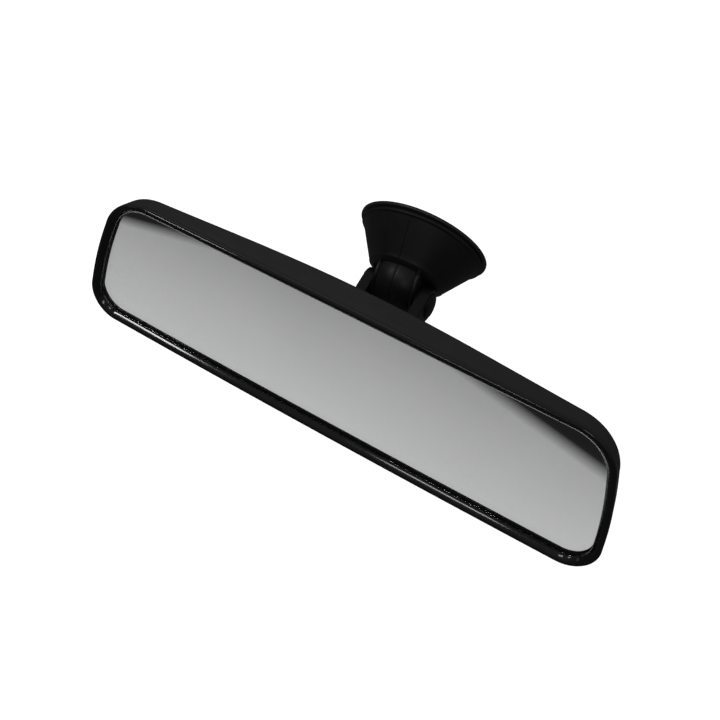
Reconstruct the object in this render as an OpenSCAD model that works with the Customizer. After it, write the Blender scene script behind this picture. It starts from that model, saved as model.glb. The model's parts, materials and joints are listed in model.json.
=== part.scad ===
// Interior rearview mirror on a suction-cup mount.
// Row frame: origin at the centre of the cup's lip face, +X along the mirror, +Z up,
// the glass faces -Y and the windscreen is on the +Y side.

/* [Head] */
// Width of the head across its bottom corners, before rounding
head_w = 245; // [225:1:265]
// Width of the head across its top corners, before rounding
head_top_w = 213.7; // [200:0.5:230]
// Height of the head
head_h = 63.6; // [58:0.2:72]
// Radius of the two top corners
top_r = 21.1; // [16:0.1:26]
// Radius of the two bottom corners
bottom_r = 13.1; // [9:0.1:18]
// Depth of the housing at mid width, rim to crease
crease_mid = 17; // [14:0.5:20]
// Depth of the housing at its ends, rim to crease
crease_end = 8.8; // [8.6:0.1:10]
// Depth of the domed back at the ball collar
back_y = 24.5; // [22:0.5:26]
// Wall thickness of the housing
wall = 1.5; // [1.4:0.1:1.6]
// Depth of the joint line between rim and housing
part_y = 2.2; // [1.8:0.1:3]

/* [Rim and glass] */
// Width of the flat front of the rim, from the outer edge
rim_flat = 1.8; // [1.6:0.1:2.2]
// Width and depth of the chamfer inside the rim
chamfer = 1.9; // [1.8:0.1:2.3]
// Thickness of the glass
glass_t = 2; // [1.6:0.1:2.5]

/* [Ball joint] */
// Distance of the ball's centre behind the rim plane
ball_y = 19.5; // [19.3:0.1:20]
// Radius of the ball
ball_r = 7.5; // [7:0.1:7.6]
// Roll of the mount side about the ball, seen from the back
mount_roll = 6.4; // [-12:0.2:12]

/* [Hinge] */
// Distance of the hinge pin behind the rim plane
hinge_y = 58.5; // [58:0.1:60]
// Height of the hinge pin above the ball
hinge_z = 6; // [4:0.2:7]
// Radius of the hinge pin
pin_r = 2.5; // [2:0.1:2.6]
// Radius of the rounded end of each ear
ear_r = 7.3; // [6.8:0.1:7.3]
// Half width of the tongue between the ears
tongue_half = 9.8; // [9:0.1:9.8]
// Thickness of each ear
ear_t = 5.1; // [4:0.1:5.5]

/* [Suction cup] */
// Radius of the rubber lip
lip_r = 30; // [29.2:0.1:31]
// Distance from the hinge pin to the lip face, along the cup's axis
cup_reach = 27.6; // [27.6:0.1:29]
// Angle of the cup's axis above the horizontal
cup_angle = 37.6; // [30:0.2:50]
// Radius of the cover's flange
flange_r = 28.6; // [28.2:0.1:28.8]
// Distance from the lip face to the bottom of the cover
cover_h = 20.2; // [19.8:0.1:20.2]

/* [Hidden] */
$fn = 64;
gap = 0.1;
lean = atan((head_w - head_top_w) / 2 / head_h);
bow_bottom = 0.95;
bow_side = 0.75;
bow_top = 0.16;
draft_inset = 0.5;
crease_r = 2;
collar_r = 13.5;
collar_y = 27.5;
collar_foot_r = 16;
mouth_r = 11.2;
lip_t = 0.5;
glass_y = chamfer + lip_t;
glass_inset = 2.9;
coating_t = 0.1;
foam_t = 0.8;
skirt_y = 6.2;
skirt_inset = wall + draft_inset + gap;
crease_span = 1.1;

liner_gap = 0.1;
liner_t = 1.4;
liner_in_r = ball_r + liner_gap;
liner_out_r = liner_in_r + liner_t;
socket_r = liner_out_r + liner_gap;
nose_r = mouth_r - 0.3;
socket_flange_y = 8.6;
socket_flange_t = 2;
post_y = 20.2;
screw_x = 19;
screw_z = 12;
screw_r = 1.35;
plate_t = 1.2;
spring_gap = 0.05;
pad_y = 9.7;
pad_r = 5.5;
neck_r = 3.2;
shank_r = 3;
boss_y = 32;
web_y = 36;
web_t = 4.5;
nut_t = 2.6;

// Places of the three parts of the mount, in the head's frame
cup_dir = [0, cos(cup_angle), sin(cup_angle)];
lip_centre = [0, hinge_y, hinge_z] + cup_reach * cup_dir;
origin_at = [-lip_centre.z * sin(mount_roll), lip_centre.y, lip_centre.z * cos(mount_roll)];
washer_t = 0.6;
washer_gap = 0.05;
ear_in = tongue_half + washer_t + 2 * washer_gap;
ear_out = ear_in + ear_t;
ear_web_z = -1;
web_half = 6;
cap_t = 1.4;
cap_r = 5.6;
tongue_r = 15;
tongue_centre = 20.5;
rib_t = 1.5;
rib_r = 12.9;
rib_foot_r = 16;
rib_foot = 17;
bush_r = 3.4;
cover_wall = 2;
stud_r = 3;

// ---- Frames ----

module in_head() {
    translate(-origin_at) children();
}

module in_mount() {
    in_head() rotate([0, -mount_roll, 0]) children();
}

// Origin at the centre of the lip face, +Z out to the windscreen, +X along the hinge pin
module in_cup() {
    in_mount() translate(lip_centre) rotate([cup_angle - 90, 0, 0]) children();
}

// A solid of revolution about the line from the glass to the windscreen: profile is [radius, depth]
module turned(points) {
    rotate([-90, 0, 0]) mirror([0, 1, 0]) rotate_extrude() polygon(points);
}

// A cylinder along the same line, from depth y0 to depth y1
module bar_y(r, y0, y1) {
    translate([0, y0, 0]) rotate([-90, 0, 0]) cylinder(r = r, h = y1 - y0);
}

// A cylinder along X, from x0 to x1
module bar_x(r, x0, x1) {
    translate([x0, 0, 0]) rotate([0, 90, 0]) cylinder(r = r, h = x1 - x0);
}

// ---- Outline of the head ----

function arc(c, r, a0, a1, n) = [for (i = [0:n]) let (a = a0 + (a1 - a0) * i / n) c + r * [cos(a), sin(a)]];

function bowed(p, q, sag, n) =
    let (along = (q - p) / norm(q - p), out = [along.y, -along.x])
    [for (i = [1:n - 1]) let (t = i / n) p + (q - p) * t + out * 4 * sag * t * (1 - t)];

// Counter-clockwise from the bottom right corner, each edge inset by d
function outline(d) =
    let (c0 = [head_w / 2 - bottom_r * (1 + sin(lean)) / cos(lean), bottom_r - head_h / 2],
         c1 = [head_top_w / 2 - top_r * (1 - sin(lean)) / cos(lean), head_h / 2 - top_r],
         a0 = arc(c0, bottom_r - d, -90, lean, 8),
         a1 = arc(c1, top_r - d, lean, 90, 8),
         a2 = arc([-c1.x, c1.y], top_r - d, 90, 180 - lean, 8),
         a3 = arc([-c0.x, c0.y], bottom_r - d, 180 - lean, 270, 8))
    concat(a0, bowed(a0[8], a1[0], bow_side, 4), a1, bowed(a1[8], a2[0], bow_top, 24),
           a2, bowed(a2[8], a3[0], bow_side, 4), a3, bowed(a3[8], a0[0], bow_bottom, 24));

// A slab with the head's outline, from depth y0 to depth y1
module slab(d, y0, y1) {
    translate([0, y1, 0]) rotate([90, 0, 0]) linear_extrude(y1 - y0) polygon(outline(d));
}

// ---- Lofted rings ----

function crease(x) = crease_end + (crease_mid - crease_end) * (1 + cos(360 * x / (crease_span * head_w))) / 2;
function flat_ring(d, y) = [for (p = outline(d)) [p.x, y, p.y]];
function crease_ring(d, drop) = [for (p = outline(d)) [p.x, crease(p.x) - drop, p.y]];
function round_ring(r, y) = [for (p = outline(0)) let (a = atan2(p.y, p.x)) [r * cos(a), y, r * sin(a)]];
function back_ring(d, t, drop) = [for (p = outline(d))
    let (a = atan2(p.y, p.x), q = collar_foot_r * [cos(a), sin(a)], s = 1 - (1 - t) * (1 - t))
    [p.x + (q.x - p.x) * t, crease(p.x) + (back_y - crease(p.x)) * s - drop, p.y + (q.y - p.y) * t]];

// A closed tube through the rings, the last joined to the first
module loft(rings) {
    n = len(rings[0]);
    m = len(rings);
    faces = [for (k = [0:m - 1], i = [0:n - 1])
        let (j = (i + 1) % n, l = (k + 1) % m)
        each [[k * n + i, l * n + i, k * n + j], [k * n + j, l * n + i, l * n + j]]];
    polyhedron([for (r = rings) each r], faces);
}

// ---- Head ----

module screw_places() {
    for (x = [-1, 1], z = [-1, 1]) translate([x * screw_x, 0, z * screw_z]) children();
}

module rear_shell() {
    crease_d = draft_inset;
    flat_d = crease_d + crease_r;
    outer = concat(
        [flat_ring(0, part_y), crease_ring(crease_d, crease_r)],
        [for (a = [22.5:22.5:90]) crease_ring(crease_d + crease_r * (1 - cos(a)), crease_r * (1 - sin(a)))],
        [for (t = [0.15, 0.35, 0.55, 0.75, 0.9]) back_ring(flat_d, t, 0)],
        [round_ring(collar_foot_r, back_y), round_ring(collar_r + 0.5, back_y + 0.6),
         round_ring(collar_r, back_y + 1.4), round_ring(collar_r, collar_y - 0.4),
         round_ring(collar_r - 0.4, collar_y)]);
    inner = concat(
        [round_ring(mouth_r, collar_y), round_ring(mouth_r, back_y - wall)],
        [for (t = [0.8, 0.55, 0.3, 0]) back_ring(flat_d, t, wall)],
        [crease_ring(crease_d + wall, wall + 0.6), flat_ring(wall, part_y)]);
    color("#1c1c1e") in_head() loft(concat(outer, inner));
}

module socket_housing() {
    color("#26262a") in_head() difference() {
        union() {
            turned([[0, socket_flange_y], [13, socket_flange_y], [13, 20.5], [nose_r, 21.8],
                    [nose_r, collar_y - 0.5], [0, collar_y - 0.5]]);
            translate([0, socket_flange_y + socket_flange_t / 2, 0])
                cube([2 * screw_x + 10, socket_flange_t, 2 * screw_z + 10], center = true);
            screw_places() bar_y(3.2, socket_flange_y, post_y);
        }
        translate([0, ball_y, 0]) sphere(r = socket_r);
        bar_y(socket_r, socket_flange_y - 1, ball_y);
        turned([[0, ball_y + 5.2], [7.45, ball_y + 5.2], [9, collar_y], [0, collar_y]]);
        screw_places() bar_y(screw_r + 0.05, socket_flange_y - 1, 17);
    }
}

module spring_washer() {
    y0 = socket_flange_y;
    y1 = pad_y - spring_gap;
    color("#8f9296") in_head()
        turned([[2.2, y1], [4.8, y0], [5.3, y0], [5.3, y0 + 0.1], [2.7, y1]]);
}

module retainer_plate() {
    y = socket_flange_y - plate_t / 2;
    color("#9a9da1") in_head() difference() {
        translate([0, y, 0]) cube([2 * screw_x + 8, plate_t, 2 * screw_z + 8], center = true);
        screw_places() bar_y(screw_r + 0.15, y - plate_t, y + plate_t);
        bar_y(1.5, y - plate_t, y + plate_t);
    }
}

module retainer_screws() {
    head_y = socket_flange_y - plate_t;
    color("#b4b6ba") in_head() screw_places() difference() {
        union() {
            bar_y(screw_r, head_y, 16.5);
            turned([[0, head_y - 0.9], [1.9, head_y - 0.9], [2.7, head_y - 0.4], [2.7, head_y], [0, head_y]]);
        }
        for (a = [0, 90]) rotate([0, a, 0]) translate([-1.3, head_y - 1, -0.25]) cube([2.6, 0.6, 0.5]);
    }
}

module front_bezel() {
    edge_r = 1.2;
    in_d = rim_flat + chamfer;
    rounding = [for (a = [0:22.5:90]) flat_ring(edge_r * (1 - cos(a)), edge_r * (1 - sin(a)))];
    color("#121213") in_head() loft(concat(
        [flat_ring(skirt_inset, skirt_y), flat_ring(skirt_inset, part_y), flat_ring(0, part_y)],
        rounding,
        [flat_ring(rim_flat, 0), flat_ring(in_d, chamfer), flat_ring(in_d, glass_y),
         flat_ring(glass_inset - gap, glass_y), flat_ring(glass_inset - gap, skirt_y)]));
}

module glass_gasket() {
    y0 = glass_y + glass_t + coating_t;
    color("#3a3d3b") in_head() difference() {
        slab(glass_inset, y0, y0 + 0.7);
        slab(glass_inset + 1.6, y0 - 1, y0 + 2);
    }
}

module mirror_glass() {
    color("#c9d2cf") in_head() slab(glass_inset, glass_y, glass_y + glass_t);
}

module mirror_coating() {
    y = glass_y + glass_t;
    color("#8e9296") in_head() slab(glass_inset + 0.3, y, y + coating_t);
}

module foam_pad() {
    y = glass_y + glass_t + coating_t;
    color("#2e2e31") in_head() slab(glass_inset + 1.8, y, y + foam_t);
}

// ---- Ball joint ----

// A spherical shell between two cones that open from the ball's centre, angles from the windscreen side
module ball_zone(r_in, r_out, a0, a1) {
    n = 12;
    outer = [for (i = [0:n]) let (a = a0 + (a1 - a0) * i / n) r_out * [sin(a), cos(a)]];
    big = 2 * r_out;
    rotate([-90, 0, 0]) difference() {
        intersection() {
            sphere(r = r_out);
            rotate_extrude() polygon(concat([big * [sin(a0), cos(a0)]], [big * [1, cos(a0)]],
                [big * [1, cos(a1)]], [big * [sin(a1), cos(a1)]], [[0, 0]]));
        }
        sphere(r = r_in);
    }
}

module ball_liner() {
    color("#d8d6cf") in_mount() translate([0, ball_y, 0]) ball_zone(liner_in_r, liner_out_r, 52, 112);
}

module pressure_pad() {
    color("#e4e1d8") in_mount() difference() {
        bar_y(pad_r, pad_y, 13.3);
        translate([0, ball_y, 0]) sphere(r = liner_in_r);
        bar_y(1.5, pad_y - 1, 13.3);
    }
}

module ball_stud() {
    end_y = web_y + web_t + nut_t + 0.6;
    color("#b9bcc0") in_mount() union() {
        translate([0, ball_y, 0]) sphere(r = ball_r);
        bar_y(neck_r, ball_y, boss_y);
        turned([[0, boss_y], [shank_r, boss_y], [shank_r, end_y - 0.6], [shank_r - 0.6, end_y], [0, end_y]]);
    }
}

module stud_lock_nut() {
    y = web_y + web_t;
    color("#a2a5a9") in_mount() difference() {
        translate([0, y, 0]) rotate([-90, 0, 0]) cylinder(r = 5.5, h = nut_t, $fn = 6);
        bar_y(shank_r, y - 1, y + nut_t + 1);
    }
}

// ---- Yoke ----

// Side outline of an ear with its arm, in depth and height, extruded along X
module ear(x0, x1) {
    arm = hinge_y - web_y;
    intersection() {
        union() {
            translate([0, hinge_y, hinge_z]) bar_x(ear_r, x0, x1);
            translate([x1, 0, 0]) rotate([0, -90, 0]) linear_extrude(x1 - x0)
                polygon([[ear_web_z - web_half, web_y], [ear_web_z + web_half, web_y],
                         [ear_web_z + web_half, web_y + web_t],
                         [hinge_z + ear_r * sin(115), hinge_y + ear_r * cos(115)],
                         [hinge_z - ear_r * sin(75), hinge_y - ear_r * cos(75)],
                         [ear_web_z - web_half, web_y + web_t]]);
        }
        translate([x0 - 1, web_y, hinge_z - 20]) cube([x1 - x0 + 2, arm + 20, 40]);
    }
}

module yoke() {
    color("#1a1a1c") in_mount() difference() {
        union() {
            ear(ear_in, ear_out);
            ear(-ear_out, -ear_in);
            translate([-ear_out, web_y, ear_web_z - web_half]) cube([2 * ear_out, web_t, 2 * web_half]);
            turned([[0, boss_y], [6, boss_y], [9, web_y - 0.4], [9, web_y + 0.4], [0, web_y + 0.4]]);
        }
        bar_y(shank_r, boss_y - 1, web_y + web_t + 1);
        translate([0, hinge_y, hinge_z]) bar_x(pin_r, -ear_out - 1, ear_out + 1);
    }
}

module hinge_pin() {
    color("#b9bcc0") in_mount() translate([0, hinge_y, hinge_z]) union() {
        bar_x(pin_r, -ear_out - 0.7, ear_out);
        bar_x(4, ear_out, ear_out + 0.8);
    }
}

module pin_clip() {
    color("#a2a5a9") in_mount() translate([0, hinge_y, hinge_z]) difference() {
        bar_x(4, -ear_out - 0.5, -ear_out);
        bar_x(pin_r, -ear_out - 1, -ear_out + 1);
    }
}

module friction_washers() {
    color("#cfcabc") in_mount() for (s = [-1, 1]) translate([0, hinge_y, hinge_z]) difference() {
        bar_x(6.2, s * (ear_in - washer_t / 2) - washer_t / 2, s * (ear_in - washer_t / 2) + washer_t / 2);
        bar_x(pin_r, -ear_out, ear_out);
    }
}

// A shallow domed cap over one end of the pin
module cap() {
    room = 0.9;
    rotate([0, 90, 0]) rotate_extrude()
        polygon([[0, ear_out + room], [4.2, ear_out + room], [4.2, ear_out], [cap_r, ear_out],
                 [cap_r, ear_out + 0.5], [cap_r - 0.5, ear_out + 0.95], [cap_r - 1.6, ear_out + cap_t - 0.1],
                 [0, ear_out + cap_t]]);
}

module right_cap() {
    color("#222225") in_mount() translate([0, hinge_y, hinge_z]) cap();
}

module left_cap() {
    color("#222225") in_mount() translate([0, hinge_y, hinge_z]) mirror([1, 0, 0]) cap();
}

// ---- Mount ----

// A slab across the pin from x0 to x1, open upwards to the height where the ribs end
module tongue_space(x0, x1) {
    translate([x0, -20, -50]) cube([x1 - x0, 40, 50 - rib_foot]);
}

module tongue_rib(x0) {
    intersection() {
        translate([x0, 0, 0]) rotate([90, 0, 90]) linear_extrude(rib_t) union() {
            translate([0, -tongue_centre]) circle(r = rib_r);
            polygon([[-rib_r, -tongue_centre - 1], [rib_r, -tongue_centre - 1],
                     [rib_foot_r, -rib_foot], [-rib_foot_r, -rib_foot]]);
        }
        tongue_space(x0, x0 + rib_t);
    }
}

module cup_cover() {
    core_half = tongue_half - rib_t;
    color("#151517") in_cup() difference() {
        union() {
            rotate_extrude() difference() {
                polygon([[0, -cover_h], [15.4, -cover_h], [18, 1.6 - cover_h], [27.8, -3.3],
                         [flange_r, -3.1], [flange_r, -1.7], [0, -1.7]]);
                polygon([[0, -1.7], [25.2, -1.7], [25.2, -3], [16.2, 2 + cover_wall - cover_h],
                         [0, 2 + cover_wall - cover_h]]);
            }
            intersection() {
                translate([0, 0, -tongue_centre]) sphere(r = tongue_r);
                tongue_space(-core_half, core_half);
            }
            tongue_rib(-tongue_half);
            tongue_rib(core_half);
        }
        translate([0, 0, -cup_reach]) bar_x(bush_r, -tongue_half - 1, tongue_half + 1);
        translate([0, 0, -cover_h - 1]) cylinder(r = stud_r + 0.2, h = 8);
    }
}

module tongue_bush() {
    color("#c9a45a") in_cup() translate([0, 0, -cup_reach]) difference() {
        bar_x(bush_r, -tongue_half, tongue_half);
        bar_x(pin_r + 0.05, -tongue_half - 1, tongue_half + 1);
    }
}

module suction_pad() {
    color("#101012") in_cup() difference() {
        rotate_extrude() difference() {
            polygon([[0, -9], [8, -9], [9, -8], [9, -4.6], [24.6, -3], [24.6, -1.5], [lip_r, -1.3],
                     [lip_r, -0.2], [lip_r - 0.2, 0], [0, 0]]);
            polygon([[0, 1], [27.6, 1], [27.6, 0], [25, -0.4], [18, -1.1], [9, -1.7], [0, -1.9]]);
        }
        translate([0, 0, -10]) cylinder(r = stud_r, h = 5.5);
    }
}

module pad_stud() {
    color("#c4a55c") in_cup() translate([0, 0, -18]) cylinder(r = stud_r, h = 18 - 4.5);
}

module stud_washer() {
    top = 2 + cover_wall - cover_h;
    color("#b4b6ba") in_cup() translate([0, 0, top]) difference() {
        cylinder(r = 7, h = 1);
        translate([0, 0, -1]) cylinder(r = stud_r, h = 3);
    }
}

module stud_nut() {
    top = 3 + cover_wall - cover_h;
    color("#a2a5a9") in_cup() translate([0, 0, top]) difference() {
        cylinder(r = 5.6, h = 4, $fn = 6);
        translate([0, 0, -1]) cylinder(r = stud_r, h = 6);
    }
}

suction_pad();
cup_cover();
pad_stud();
stud_washer();
stud_nut();
tongue_bush();
yoke();
hinge_pin();
pin_clip();
friction_washers();
left_cap();
right_cap();
ball_stud();
stud_lock_nut();
ball_liner();
pressure_pad();
rear_shell();
socket_housing();
spring_washer();
retainer_plate();
retainer_screws();
front_bezel();
glass_gasket();
mirror_glass();
mirror_coating();
foam_pad();
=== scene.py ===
import json
import math

import bmesh
import bpy
from mathutils import Matrix, Vector


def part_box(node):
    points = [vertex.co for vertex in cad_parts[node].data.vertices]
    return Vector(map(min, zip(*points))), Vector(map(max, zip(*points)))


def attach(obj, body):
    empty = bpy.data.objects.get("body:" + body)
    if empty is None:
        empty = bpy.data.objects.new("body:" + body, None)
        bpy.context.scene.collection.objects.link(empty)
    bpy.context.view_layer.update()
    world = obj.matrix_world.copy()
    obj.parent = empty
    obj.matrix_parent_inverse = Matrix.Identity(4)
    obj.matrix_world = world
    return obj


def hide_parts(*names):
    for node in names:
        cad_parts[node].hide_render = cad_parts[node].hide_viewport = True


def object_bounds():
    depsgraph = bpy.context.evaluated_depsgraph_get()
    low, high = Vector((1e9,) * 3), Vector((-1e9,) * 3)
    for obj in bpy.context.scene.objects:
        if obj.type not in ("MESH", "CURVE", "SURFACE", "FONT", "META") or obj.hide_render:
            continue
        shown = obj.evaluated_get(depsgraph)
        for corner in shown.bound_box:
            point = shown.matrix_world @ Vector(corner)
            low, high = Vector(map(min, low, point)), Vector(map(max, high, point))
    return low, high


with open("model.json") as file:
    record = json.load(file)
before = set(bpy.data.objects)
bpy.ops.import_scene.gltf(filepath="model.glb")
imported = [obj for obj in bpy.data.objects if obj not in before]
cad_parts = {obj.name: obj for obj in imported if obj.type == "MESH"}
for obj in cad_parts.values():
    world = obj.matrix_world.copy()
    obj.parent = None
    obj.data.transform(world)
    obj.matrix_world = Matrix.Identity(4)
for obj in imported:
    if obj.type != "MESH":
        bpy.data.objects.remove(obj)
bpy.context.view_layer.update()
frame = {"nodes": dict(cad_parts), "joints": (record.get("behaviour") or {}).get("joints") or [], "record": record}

MM = 0.001

# ---- Places, read from the frame ----


def joint(name):
    return next(j for j in frame["joints"] if j["name"] == name)


ball = Vector(joint("ball_pan")["pos_m"])
hinge = Vector(joint("hinge_tilt")["pos_m"])
hinge_axis = Vector(joint("hinge_tilt")["axis"]).normalized()
cup_axis = Vector(frame["record"]["mounts"][0]["axis"]).normalized()
rim_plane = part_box("front_bezel")[0].y

# The card that the mirror shows is level with the part's lowest point; the floor is below every pose
card_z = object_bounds()[0][2]
floor_z = card_z - 0.0752

# Head frame: origin in the rim plane in front of the ball, square to the row frame
head_at = Vector((ball.x, rim_plane, ball.z))
to_head = Matrix.Translation(head_at)

# Cup frame: origin at the lip's centre, +Z out to the windscreen, +X along the hinge pin
cup_side = cup_axis.cross(hinge_axis).normalized()
to_cup = Matrix((hinge_axis, cup_side, cup_axis)).transposed().to_4x4()

# Hinge frame: the cup frame's directions, at the middle of the pin
to_hinge = Matrix.Translation(hinge) @ to_cup

# ---- Sizes in millimetres ----

HEAD_W = 245.0
HEAD_TOP_W = 213.7
HEAD_H = 63.6
TOP_R = 21.1
BOTTOM_R = 13.1
BOW_BOTTOM, BOW_SIDE, BOW_TOP = 0.95, 0.75, 0.16
LEAN = math.atan((HEAD_W - HEAD_TOP_W) / 2 / HEAD_H)
CREASE_MID, CREASE_END, CREASE_SPAN = 17.0, 8.8, 1.1
CREASE_R = 2.0
DRAFT = 0.5
BACK_Y = 24.5
WALL = 1.5
PART_Y = 2.2
JOINT_GROOVE = 0.14
COLLAR_FOOT_R, COLLAR_R, COLLAR_Y, MOUTH_R = 16.0, 13.5, 27.5, 11.2
COLLAR_FILLET, COLLAR_EDGE = 1.6, 0.6
RIM_FLAT, RIM_EDGE_R, CHAMFER = 1.8, 1.2, 1.9
CHAMFER_CROWN, LIP_R = 0.5, 0.5
GLASS_Y, GLASS_T, GLASS_INSET = 2.4, 2.0, 2.9
SKIRT_Y, SKIRT_INSET = 6.2, 2.1

COVER_H = 20.2
# The straight part of the cone, as (radius, height)
CONE_LOW, CONE_HIGH = (18.1, -17.9), (27.5, -3.75)
TONGUE_R, TONGUE_HALF, TONGUE_CENTRE = 15.0, 9.8, 20.5
RIB_T, RIB_R, RIB_FOOT_R, RIB_FOOT = 1.5, 12.9, 17.2, 15.4
CAP_R, CAP_T = 5.6, 1.4
EAR_OUT = 15.6

# ---- Mesh helpers ----


def add_mesh(name, verts, faces, place, smooth_angle=35):
    """A mesh object from points in millimetres in the frame `place`."""
    mesh = bpy.data.meshes.new(name)
    mesh.from_pydata([place @ (Vector(v) * MM) for v in verts], [], faces)
    work = bmesh.new()
    work.from_mesh(mesh)
    bmesh.ops.recalc_face_normals(work, faces=work.faces)
    work.to_mesh(mesh)
    work.free()
    mesh.polygons.foreach_set("use_smooth", [True] * len(mesh.polygons))
    mesh.set_sharp_from_angle(angle=math.radians(smooth_angle))
    obj = bpy.data.objects.new(name, mesh)
    bpy.context.scene.collection.objects.link(obj)
    return obj


def ring_faces(rings, closed):
    """Quads between neighbouring rings of equal length; closed joins the last ring to the first."""
    n = len(rings[0])
    faces = []
    for k in range(len(rings) - (0 if closed else 1)):
        a = k * n
        b = (k + 1) % len(rings) * n
        for i in range(n):
            j = (i + 1) % n
            faces.append((a + i, b + i, b + j, a + j))
    return faces


def loft(name, rings, place, smooth_angle=35):
    """A skin over the rings, from the last one back to the first."""
    verts = [p for ring in rings for p in ring]
    return add_mesh(name, verts, ring_faces(rings, closed=True), place, smooth_angle)


def corner(radius, cx, cy, start, end, steps):
    """Points on an arc, angles in degrees."""
    points = []
    for i in range(steps + 1):
        a = math.radians(start + (end - start) * i / steps)
        points.append((cx + radius * math.cos(a), cy + radius * math.sin(a)))
    return points


# ---- The head's outline ----


def bowed(p, q, sag, steps):
    """Points between p and q on a shallow bow of that height."""
    dx, dz = q[0] - p[0], q[1] - p[1]
    length = math.hypot(dx, dz)
    out = (dz / length, -dx / length)
    points = []
    for i in range(1, steps):
        t = i / steps
        lift = 4 * sag * t * (1 - t)
        points.append((p[0] + dx * t + out[0] * lift, p[1] + dz * t + out[1] * lift))
    return points


def outline(inset, corner_steps=16, long_steps=48, side_steps=12):
    """Counter-clockwise from the bottom right corner, as (x, z)."""
    lean = math.degrees(LEAN)
    s, c = math.sin(LEAN), math.cos(LEAN)
    bx, bz = HEAD_W / 2 - BOTTOM_R * (1 + s) / c, BOTTOM_R - HEAD_H / 2
    tx, tz = HEAD_TOP_W / 2 - TOP_R * (1 - s) / c, HEAD_H / 2 - TOP_R
    a0 = corner(BOTTOM_R - inset, bx, bz, -90, lean, corner_steps)
    a1 = corner(TOP_R - inset, tx, tz, lean, 90, corner_steps)
    a2 = corner(TOP_R - inset, -tx, tz, 90, 180 - lean, corner_steps)
    a3 = corner(BOTTOM_R - inset, -bx, bz, 180 - lean, 270, corner_steps)
    return (
        a0 + bowed(a0[-1], a1[0], BOW_SIDE, side_steps)
        + a1 + bowed(a1[-1], a2[0], BOW_TOP, long_steps)
        + a2 + bowed(a2[-1], a3[0], BOW_SIDE, side_steps)
        + a3 + bowed(a3[-1], a0[0], BOW_BOTTOM, long_steps)
    )


def crease(x):
    """How far behind the rim plane the side wall ends: deepest at the middle."""
    wave = math.cos(2 * math.pi * x / (CREASE_SPAN * HEAD_W))
    return CREASE_END + (CREASE_MID - CREASE_END) * (1 + wave) / 2


def flat_ring(inset, y):
    return [(x, y, z) for x, z in outline(inset)]


def crease_ring(inset, drop):
    return [(x, crease(x) - drop, z) for x, z in outline(inset)]


def wall_ring(inset, t):
    """On the side wall, t from 0 at the joint line to 1 where the crease's rounding starts."""
    return [
        (x, PART_Y + (crease(x) - CREASE_R - PART_Y) * t, z) for x, z in outline(inset)
    ]


def round_ring(radius, y):
    ring = []
    for x, z in outline(0):
        a = math.atan2(z, x)
        ring.append((radius * math.cos(a), y, radius * math.sin(a)))
    return ring


def back_ring(inset, t, drop):
    """On the domed back, t from 0 at the crease to 1 at the foot of the collar."""
    s = 1 - (1 - t) ** 2
    ring = []
    for x, z in outline(inset):
        a = math.atan2(z, x)
        qx, qz = COLLAR_FOOT_R * math.cos(a), COLLAR_FOOT_R * math.sin(a)
        y = crease(x) + (BACK_Y - crease(x)) * s - drop
        ring.append((x + (qx - x) * t, y, z + (qz - z) * t))
    return ring


# ---- Head pieces ----


def make_shell():
    """The rear housing: side wall, rounded crease, domed back and the collar round the ball's mouth."""
    flat = DRAFT + CREASE_R
    rings = [flat_ring(JOINT_GROOVE, PART_Y), flat_ring(JOINT_GROOVE * 0.3, PART_Y + JOINT_GROOVE * 0.3)]
    rings.append(flat_ring(0, PART_Y + JOINT_GROOVE))
    rings += [wall_ring(DRAFT * t, t) for t in (0.35, 0.7, 0.97)]
    for i in range(9):
        a = math.radians(90 * i / 8)
        rings.append(crease_ring(DRAFT + CREASE_R * (1 - math.cos(a)), CREASE_R * (1 - math.sin(a))))
    rings += [back_ring(flat, t, 0) for t in (0.04, 0.1, 0.2, 0.3, 0.4, 0.5, 0.6, 0.7, 0.8, 0.9)]
    for i in range(7):
        a = math.radians(90 * i / 6)
        r = COLLAR_FOOT_R - (COLLAR_FOOT_R - COLLAR_R) * math.sin(a)
        rings.append(round_ring(r, BACK_Y + COLLAR_FILLET * (1 - math.cos(a))))
    for i in range(6):
        a = math.radians(90 * i / 5)
        edge_r, edge_y = COLLAR_R - COLLAR_EDGE * (1 - math.cos(a)), COLLAR_Y - COLLAR_EDGE * (1 - math.sin(a))
        rings.append(round_ring(edge_r, edge_y))
    rings += [round_ring(MOUTH_R + 0.3, COLLAR_Y), round_ring(MOUTH_R, COLLAR_Y - 0.3)]
    rings.append(round_ring(MOUTH_R, BACK_Y - WALL))
    rings += [back_ring(flat, t, WALL) for t in (0.8, 0.55, 0.3, 0.05)]
    rings += [crease_ring(DRAFT + WALL, WALL + 0.6), flat_ring(WALL, PART_Y)]
    return loft("rear_shell_moulding", rings, to_head)


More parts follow.
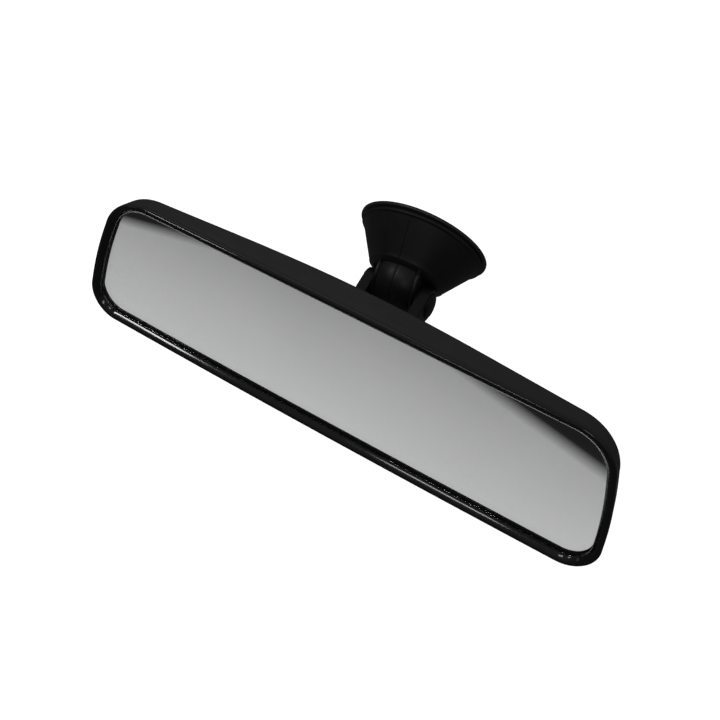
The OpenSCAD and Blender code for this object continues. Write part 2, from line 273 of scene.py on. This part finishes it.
def make_bezel():
    """The rim: skirt, joint groove, rounded edge, flat and the crowned chamfer down to the glass."""
    inner = RIM_FLAT + CHAMFER
    rings = [flat_ring(SKIRT_INSET, SKIRT_Y), flat_ring(SKIRT_INSET, PART_Y)]
    rings += [flat_ring(JOINT_GROOVE, PART_Y), flat_ring(JOINT_GROOVE * 0.3, PART_Y - JOINT_GROOVE * 0.3)]
    rings.append(flat_ring(0, PART_Y - JOINT_GROOVE))
    for i in range(9):
        a = math.radians(90 * i / 8)
        rings.append(flat_ring(RIM_EDGE_R * (1 - math.sin(math.pi / 2 - a)), RIM_EDGE_R * (1 - math.sin(a))))
    for i in range(5):
        a = math.radians(45 * i / 4)
        rings.append(flat_ring(RIM_FLAT - LIP_R / 2 + LIP_R * math.sin(a), LIP_R * (1 - math.cos(a))))
    for k in (0.85, 0.7, 0.5, 0.3, 0.15, 0.05):
        rings.append(flat_ring(inner - CHAMFER * k, (CHAMFER - CHAMFER_CROWN * k) * (1 - k)))
    rings += [flat_ring(inner, CHAMFER + 0.12), flat_ring(inner, GLASS_Y)]
    rings += [flat_ring(GLASS_INSET - 0.1, GLASS_Y), flat_ring(GLASS_INSET - 0.1, SKIRT_Y)]
    return loft("front_rim", rings, to_head)


def make_glass():
    """The glass plate with seamed edges, a hair clear of the silvering behind it."""
    front, back, seam = GLASS_Y, GLASS_Y + GLASS_T - 0.02, 0.25
    rings = [flat_ring(GLASS_INSET + seam, front), flat_ring(GLASS_INSET, front + seam)]
    rings += [flat_ring(GLASS_INSET, back - seam), flat_ring(GLASS_INSET + seam, back)]
    verts = [p for ring in rings for p in ring]
    n = len(rings[0])
    faces = ring_faces(rings, closed=False) + [tuple(range(n)), tuple(range(3 * n, 4 * n))]
    return add_mesh("glass_plate", verts, faces, to_head, 20)


# ---- Cup pieces ----


def revolve(name, profile, place, columns=None, dip=None, smooth_angle=35):
    """Turns (radius, height) points about Z; dip(angle, radius, height) lowers the radius there."""
    columns = columns or [360 * i / 96 for i in range(96)]
    rings = []
    for r, z in profile:
        ring = []
        for a in columns:
            radius = r - (dip(a, r, z) if dip else 0)
            ring.append((radius * math.cos(math.radians(a)), radius * math.sin(math.radians(a)), z))
        rings.append(ring)
    return loft(name, rings, place, smooth_angle)


# The cone's parting line, in degrees round the cup
SEAM_AT = 270.0
SEAM_HALF = 0.7


def seam_columns():
    even = [360 * i / 120 for i in range(120)]
    kept = [a for a in even if abs(a - SEAM_AT) > 2]
    return sorted(kept + [SEAM_AT - 1.4, SEAM_AT - SEAM_HALF, SEAM_AT, SEAM_AT + SEAM_HALF, SEAM_AT + 1.4])


def seam_dip(angle, radius, height):
    """The parting line's depth on the cone, where the middle seam column is."""
    on_cone = -COVER_H + 0.5 < height < -3.6 and radius > 17
    return 0.28 if on_cone and abs(angle - SEAM_AT) < 0.01 else 0


def make_cover():
    """The cup cover's cone, with a rolled flange and hollow inside."""
    profile = [(3.4, -COVER_H), (14.3, -COVER_H), (15.0, -COVER_H + 0.08), (15.45, -COVER_H + 0.32)]
    profile += [(17.55, -18.85), (17.8, -18.6), (17.95, -18.25)]
    (low_r, low_z), (high_r, high_z) = CONE_LOW, CONE_HIGH
    steps = 10
    for i in range(steps + 1):
        t = i / steps
        profile.append((low_r + (high_r - low_r) * t, low_z + (high_z - low_z) * t))
    profile += [(27.65, -3.5), (27.9, -3.38), (28.35, -3.3), (28.55, -3.15), (28.6, -2.9)]
    profile += [(28.6, -2.0), (28.52, -1.8), (28.3, -1.7), (25.2, -1.7), (25.2, -3.0), (16.2, -16.2)]
    profile += [(3.4, -16.2)]
    return revolve("cover_cone", profile, to_cup, seam_columns(), dip=seam_dip)


def tongue_section(x, sink, on_rib):
    """One slice of the tongue across the pin, sunk that far below the full surface."""
    r = (RIB_R if on_rib else math.sqrt(TONGUE_R ** 2 - x * x)) - sink
    side = []
    for z in (-RIB_FOOT, -17.0, -18.3, -19.4, -20.2, -21.0):
        rise = z + TONGUE_CENTRE
        if on_rib:
            side.append((r + (RIB_FOOT_R - RIB_R) * (rise + 1) / (TONGUE_CENTRE + 1 - RIB_FOOT), z))
        else:
            side.append((math.sqrt(r * r - rise * rise), z))
    points = [(-y, z) for y, z in side]
    points += corner(r, 0, -TONGUE_CENTRE, 185, 355, 60)
    points += [(y, z) for y, z in reversed(side)]
    return [(x, y, z) for y, z in points]


def make_tongue():
    """The cover's hinge tongue: a rounded body between two ribs, with a parting line in the middle."""
    inner = TONGUE_HALF - RIB_T
    half = [(TONGUE_HALF, 0.5, True), (TONGUE_HALF - 0.15, 0.15, True), (TONGUE_HALF - 0.5, 0, True)]
    half += [(inner + 0.4, 0, True), (inner + 0.12, 0.12, True), (inner, 0.45, True), (inner - 0.1, 0, False)]
    half += [(inner - 1.5, 0, False)] + [(inner * k, 0, False) for k in (0.65, 0.45, 0.25)]
    half += [(0.34, 0, False), (0.17, 0.06, False)]
    slices = [(-x, sink, rib) for x, sink, rib in half] + [(0, 0.3, False)] + half[::-1]
    rings = [tongue_section(*one) for one in slices]
    verts = [p for ring in rings for p in ring]
    n = len(rings[0])
    faces = ring_faces(rings, closed=False)
    faces += [tuple(range(n)), tuple(range((len(rings) - 1) * n, len(rings) * n))]
    return add_mesh("cover_tongue", verts, faces, to_cup, 30)


def make_pad():
    """The suction disc, with its lip and shallow dish."""
    profile = [(3.0, -9), (8, -9), (8.7, -8.7), (9, -8), (9, -4.6), (24.6, -3), (24.6, -1.5)]
    profile += [(29.2, -1.42), (29.75, -1.25), (29.97, -0.95), (30.0, -0.6), (29.97, -0.25), (29.8, -0.06)]
    profile += [(29.6, 0), (27.6, 0), (26.8, -0.13), (25.6, -0.4), (18, -1.1), (9, -1.7), (3, -1.88)]
    return revolve("suction_disc", profile, to_cup)


def make_cap(name, side):
    """A shallow dome over one end of the hinge pin."""
    turn = Matrix.Rotation(math.radians(90 * side), 4, "Y")
    profile = [(0.02, EAR_OUT + CAP_T), (1.5, EAR_OUT + CAP_T - 0.03), (3.0, EAR_OUT + CAP_T - 0.13)]
    profile += [(4.2, EAR_OUT + CAP_T - 0.32), (4.9, EAR_OUT + CAP_T - 0.55), (5.3, EAR_OUT + CAP_T - 0.8)]
    profile += [(5.52, EAR_OUT + 0.35), (CAP_R, EAR_OUT + 0.15), (CAP_R, EAR_OUT)]
    profile += [(4.2, EAR_OUT), (4.2, EAR_OUT + 0.9), (0.02, EAR_OUT + 0.9)]
    return revolve(name, profile, to_hinge @ turn, smooth_angle=50)


# ---- Materials ----


def node(tree, kind, **inputs):
    made = tree.nodes.new(kind)
    for key, value in inputs.items():
        made.inputs[key.replace("_", " ")].default_value = value
    return made


def material(name, color, roughness, metallic=0.0, specular=0.5):
    """A Principled material; returns it with its tree and shader for the caller to add detail to."""
    made = bpy.data.materials.new(name)
    made.use_nodes = True
    shader = made.node_tree.nodes["Principled BSDF"]
    shader.inputs["Base Color"].default_value = (*color, 1)
    shader.inputs["Roughness"].default_value = roughness
    shader.inputs["Metallic"].default_value = metallic
    shader.inputs["Specular IOR Level"].default_value = specular
    return made, made.node_tree, shader


def noise(tree, scale, detail):
    """Noise in the piece's own coordinates; scale is in features per metre."""
    where = tree.nodes.new("ShaderNodeTexCoord")
    made = node(tree, "ShaderNodeTexNoise", Scale=scale, Detail=detail)
    tree.links.new(where.outputs["Object"], made.inputs["Vector"])
    return made.outputs["Fac"]


def spread(tree, source, low, high, start=0.3, end=0.7):
    """Maps start..end of a value onto low..high."""
    made = node(tree, "ShaderNodeMapRange", From_Min=start, From_Max=end, To_Min=low, To_Max=high)
    tree.links.new(source, made.inputs["Value"])
    return made.outputs["Result"]


def tint(tree, source, low, high):
    """Mixes two colours by a noise value."""
    ramp = tree.nodes.new("ShaderNodeValToRGB")
    ramp.color_ramp.elements[0].position = 0.3
    ramp.color_ramp.elements[0].color = (*low, 1)
    ramp.color_ramp.elements[1].position = 0.7
    ramp.color_ramp.elements[1].color = (*high, 1)
    tree.links.new(source, ramp.inputs["Fac"])
    return ramp.outputs["Color"]


def bump(tree, shader, height, distance):
    made = node(tree, "ShaderNodeBump", Strength=1.0, Distance=distance)
    tree.links.new(height, made.inputs["Height"])
    tree.links.new(made.outputs["Normal"], shader.inputs["Normal"])


def moulded(name, low, high, rough_low, rough_high, grain=2600, depth=0.00003, specular=0.5):
    """Moulded black plastic: a fine spark-eroded grain, slightly uneven sheen and tone."""
    made, tree, shader = material(name, low, rough_low, specular=specular)
    fine = noise(tree, grain, 4)
    broad = noise(tree, 45, 3)
    tree.links.new(tint(tree, broad, low, high), shader.inputs["Base Color"])
    tree.links.new(spread(tree, noise(tree, 160, 5), rough_low, rough_high), shader.inputs["Roughness"])
    bump(tree, shader, fine, depth)
    return made


def metal(name, low, high, rough_low, rough_high):
    """Turned or plated metal: an uneven sheen over the lightest of grains."""
    made, tree, shader = material(name, low, rough_low, metallic=1.0)
    streak = noise(tree, 900, 4)
    tree.links.new(tint(tree, noise(tree, 120, 4), low, high), shader.inputs["Base Color"])
    tree.links.new(spread(tree, streak, rough_low, rough_high), shader.inputs["Roughness"])
    bump(tree, shader, streak, 0.000008)
    return made


def soft(name, low, high, rough, grain=1200, depth=0.00002):
    """Rubber, foam or nylon: matt, with a faint grain."""
    made, tree, shader = material(name, low, rough)
    tree.links.new(tint(tree, noise(tree, 300, 3), low, high), shader.inputs["Base Color"])
    tree.links.new(spread(tree, noise(tree, 220, 4), rough - 0.06, rough + 0.08), shader.inputs["Roughness"])
    bump(tree, shader, noise(tree, grain, 3), depth)
    return made


def mirror_silver():
    """The silvered layer, with the faintest haze."""
    made, tree, shader = material("silvering", (0.8, 0.8, 0.8), 0.0, metallic=1.0)
    tone = tint(tree, noise(tree, 14, 2), (0.79, 0.79, 0.79), (0.82, 0.82, 0.82))
    tree.links.new(tone, shader.inputs["Base Color"])
    tree.links.new(spread(tree, noise(tree, 60, 4), 0.0, 0.012, 0.45, 0.8), shader.inputs["Roughness"])
    return made


def float_glass():
    made, tree, shader = material("float_glass", (0.985, 0.993, 0.988), 0.0)
    shader.inputs["Transmission Weight"].default_value = 1.0
    shader.inputs["IOR"].default_value = 1.52
    tree.links.new(spread(tree, noise(tree, 90, 5), 0.0, 0.01, 0.5, 0.85), shader.inputs["Roughness"])
    return made


def paint(obj, made):
    obj.data.materials.clear()
    obj.data.materials.append(made)


# ---- Build ----

housing = moulded("housing_plastic", (0.017, 0.017, 0.0175), (0.021, 0.021, 0.0215), 0.42, 0.5)
rim_gloss = moulded(
    "rim_plastic", (0.008, 0.008, 0.0082), (0.011, 0.011, 0.0112), 0.08, 0.12, 160, 0.000004
)
cover_plastic = moulded(
    "mount_plastic", (0.013, 0.013, 0.0134), (0.018, 0.018, 0.0184), 0.35, 0.45, 1800, 0.00002, 0.3
)
rubber = soft("pad_rubber", (0.028, 0.028, 0.029), (0.034, 0.034, 0.035), 0.4)
gasket = soft("gasket_rubber", (0.03, 0.032, 0.03), (0.045, 0.047, 0.045), 0.7)
foam = soft("foam", (0.04, 0.04, 0.043), (0.07, 0.07, 0.074), 0.85, 900, 0.0002)
steel = metal("bright_steel", (0.62, 0.63, 0.65), (0.7, 0.7, 0.71), 0.12, 0.22)
zinc = metal("zinc_steel", (0.5, 0.51, 0.53), (0.62, 0.62, 0.63), 0.25, 0.42)
brass = metal("brass", (0.72, 0.53, 0.24), (0.8, 0.6, 0.3), 0.2, 0.35)
black_nylon = soft("black_nylon", (0.012, 0.012, 0.012), (0.018, 0.018, 0.018), 0.45, 1500, 0.00001)
nylon = soft("nylon", (0.72, 0.7, 0.63), (0.78, 0.76, 0.7), 0.4, 1500, 0.00001)

BY_SLOT = {
    "housing_plastic": housing,
    "rim_plastic": rim_gloss,
    "mount_plastic": cover_plastic,
    "pad_rubber": rubber,
    "gasket_rubber": gasket,
    "foam": foam,
    "bright_steel": steel,
    "zinc_steel": zinc,
    "brass": brass,
    "nylon": nylon,
    "mirror": mirror_silver(),
    "clear_glass": float_glass(),
}
for entry in frame["record"]["subparts"]:
    paint(frame["nodes"][entry["node"]], BY_SLOT[entry["material_slot"]])
# The washers beside the tongue are black, unlike the liner
paint(frame["nodes"]["friction_washers"], black_nylon)


def stand_for(obj, cad_node, body, slot):
    """A finer piece takes a CAD node's place, rides its body and takes its finish."""
    paint(obj, BY_SLOT[slot])
    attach(obj, body)
    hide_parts(cad_node)


stand_for(make_shell(), "rear_shell", "head", "housing_plastic")
stand_for(make_bezel(), "front_bezel", "head", "rim_plastic")
stand_for(make_glass(), "mirror_glass", "head", "clear_glass")
stand_for(make_pad(), "suction_pad", "mount", "pad_rubber")
stand_for(make_cap("right_pin_cap", 1), "right_cap", "yoke", "mount_plastic")
stand_for(make_cap("left_pin_cap", -1), "left_cap", "yoke", "mount_plastic")
stand_for(make_cover(), "cup_cover", "mount", "mount_plastic")

# The tongue is the same moulding as the cone, so only the cone takes the node's place
tongue = make_tongue()
paint(tongue, cover_plastic)
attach(tongue, "mount")

# The moulded yoke keeps its CAD shape, with its edges softened
yoke = frame["nodes"]["yoke"]
remesh = yoke.modifiers.new("even_mesh", "REMESH")
remesh.mode = "VOXEL"
remesh.voxel_size = 0.35 * MM
remesh.use_smooth_shade = True
relax = yoke.modifiers.new("soft_edges", "SMOOTH")
relax.factor = 0.5
relax.iterations = 6

# ---- Camera ----

CAMERA_AZIMUTH = 19.51
CAMERA_ELEVATION = 39.52
CAMERA_DISTANCE = 0.2963
CAMERA_ROLL = 14.46
CAMERA_LENS = 40.0
AIM_IN_HEAD = Vector((11.1, 0.0, 13.6)) * MM


def add_camera():
    data = bpy.data.cameras.new("camera")
    data.lens = CAMERA_LENS
    data.sensor_width = 36.0
    data.clip_start = 0.01
    camera = bpy.data.objects.new("camera", data)
    bpy.context.scene.collection.objects.link(camera)
    az, el = math.radians(CAMERA_AZIMUTH), math.radians(CAMERA_ELEVATION)
    back = Vector((math.sin(az) * math.cos(el), -math.cos(az) * math.cos(el), math.sin(el)))
    look = back.to_track_quat("Z", "Y").to_matrix().to_4x4()
    roll = Matrix.Rotation(math.radians(CAMERA_ROLL), 4, "Z")
    camera.matrix_world = Matrix.Translation(head_at + AIM_IN_HEAD + back * CAMERA_DISTANCE) @ look @ roll
    bpy.context.scene.camera = camera


# ---- Studio ----

# The card's strength at the head and at CARD_DIM_AT, and its far edge, in millimetres in front of the head
CARD_BRIGHT, CARD_DIM, CARD_DIM_AT = 0.65, 0.34, -85.0
CARD_EDGE_AT, CARD_EDGE_SLOPE = -76.0, (0.31, 0.26)
# How far the edge fades each way, and the part of the card's strength left beyond it
CARD_SOFT, CARD_BEYOND = 5.0, 0.03


def add_floor():
    """A white floor for the camera alone; it lights nothing and shows in no reflection."""
    half = 6.0
    corners = [(-half, -half), (half, -half), (half, half), (-half, half)]
    mesh = bpy.data.meshes.new("floor")
    mesh.from_pydata([(x, y, floor_z) for x, y in corners], [], [(0, 1, 2, 3)])
    floor = bpy.data.objects.new("floor", mesh)
    bpy.context.scene.collection.objects.link(floor)
    made, tree, shader = material("pale_floor", (0.93, 0.93, 0.93), 0.6)
    shader.inputs["Emission Color"].default_value = (1, 1, 1, 1)
    shader.inputs["Emission Strength"].default_value = 0.95
    paint(floor, made)
    floor.visible_diffuse = False
    floor.visible_glossy = False
    floor.visible_transmission = False


def add_reflection_card():
    """A graded card in front of the mirror, seen only through the glass."""
    near, far, half = 0.09, -0.6, 0.22
    corners = [(-half, far), (half, far), (half, near), (-half, near)]
    mesh = bpy.data.meshes.new("reflection_card")
    mesh.from_pydata([head_at + Vector((x, y, card_z - head_at.z)) for x, y in corners], [], [(0, 1, 2, 3)])
    card = bpy.data.objects.new("reflection_card", mesh)
    bpy.context.scene.collection.objects.link(card)
    card.visible_camera = False
    card.visible_diffuse = False
    card.visible_glossy = False
    card.visible_shadow = False
    made = bpy.data.materials.new("graded_card")
    made.use_nodes = True
    tree = made.node_tree
    tree.nodes.remove(tree.nodes["Principled BSDF"])
    where = tree.nodes.new("ShaderNodeTexCoord")
    split = tree.nodes.new("ShaderNodeSeparateXYZ")
    tree.links.new(where.outputs["Object"], split.inputs[0])
    across, along = split.outputs["X"], split.outputs["Y"]

    def combine(kind, a, b):
        made = tree.nodes.new("ShaderNodeMath")
        made.operation = kind
        tree.links.new(a, made.inputs[0])
        tree.links.new(b, made.inputs[1])
        return made.outputs[0]

    level = spread(tree, along, CARD_DIM, CARD_BRIGHT, head_at.y + CARD_DIM_AT * MM, head_at.y)
    # The card's far edge comes nearer towards both ends of the mirror
    left_slope, right_slope = CARD_EDGE_SLOPE
    left_from, right_from, run = -0.102, 0.025, 0.2
    left = spread(tree, across, 0.0, run * left_slope, left_from, left_from - run)
    right = spread(tree, across, 0.0, run * right_slope, right_from, right_from + run)
    past_edge = combine("SUBTRACT", along, combine("ADD", left, right))
    edge_y = head_at.y + CARD_EDGE_AT * MM
    inside = spread(tree, past_edge, CARD_BEYOND, 1.0, edge_y - CARD_SOFT * MM, edge_y + CARD_SOFT * MM)
    glow = tree.nodes.new("ShaderNodeEmission")
    tree.links.new(combine("MULTIPLY", level, inside), glow.inputs["Strength"])
    tree.links.new(glow.outputs[0], tree.nodes["Material Output"].inputs["Surface"])
    card.data.materials.append(made)


def add_area(name, place, aim, size, power):
    """A rectangular lamp facing its aim."""
    data = bpy.data.lights.new(name, "AREA")
    data.shape = "RECTANGLE"
    data.size, data.size_y = size
    data.energy = power
    light = bpy.data.objects.new(name, data)
    light.location = place
    light.rotation_euler = (aim - place).to_track_quat("-Z", "Y").to_euler()
    bpy.context.scene.collection.objects.link(light)


def add_world(horizon, overhead):
    """Soft surroundings, brighter overhead than near the horizon."""
    world = bpy.data.worlds.new("studio")
    world.use_nodes = True
    tree = world.node_tree
    tree.nodes["Background"].inputs["Color"].default_value = (1, 1, 1, 1)
    where = tree.nodes.new("ShaderNodeTexCoord")
    split = tree.nodes.new("ShaderNodeSeparateXYZ")
    tree.links.new(where.outputs["Generated"], split.inputs[0])
    strength = spread(tree, split.outputs["Z"], horizon, overhead, 0.0, 0.6)
    tree.links.new(strength, tree.nodes["Background"].inputs["Strength"])
    bpy.context.scene.world = world


add_camera()
add_floor()
add_reflection_card()
add_world(0.05, 0.18)
add_area("back_left", head_at + Vector((-0.45, 0.75, 0.85)), head_at, (0.7, 0.5), 0.2)
add_area("glint_left", head_at + Vector((-0.55, -0.55, 0.635)), head_at, (0.18, 0.07), 0.9)
add_area("glint_low", head_at + Vector((-0.06, -0.68, 0.73)), head_at, (0.2, 0.05), 0.35)
add_area("glint_bend", head_at + Vector((0.36, -0.8, 0.42)), head_at, (0.22, 0.1), 0.3)
add_area("glint_right", head_at + Vector((-0.8, -0.58, 0.16)), head_at, (0.2, 0.1), 0.04)
bpy.context.scene.view_settings.view_transform = "Standard"
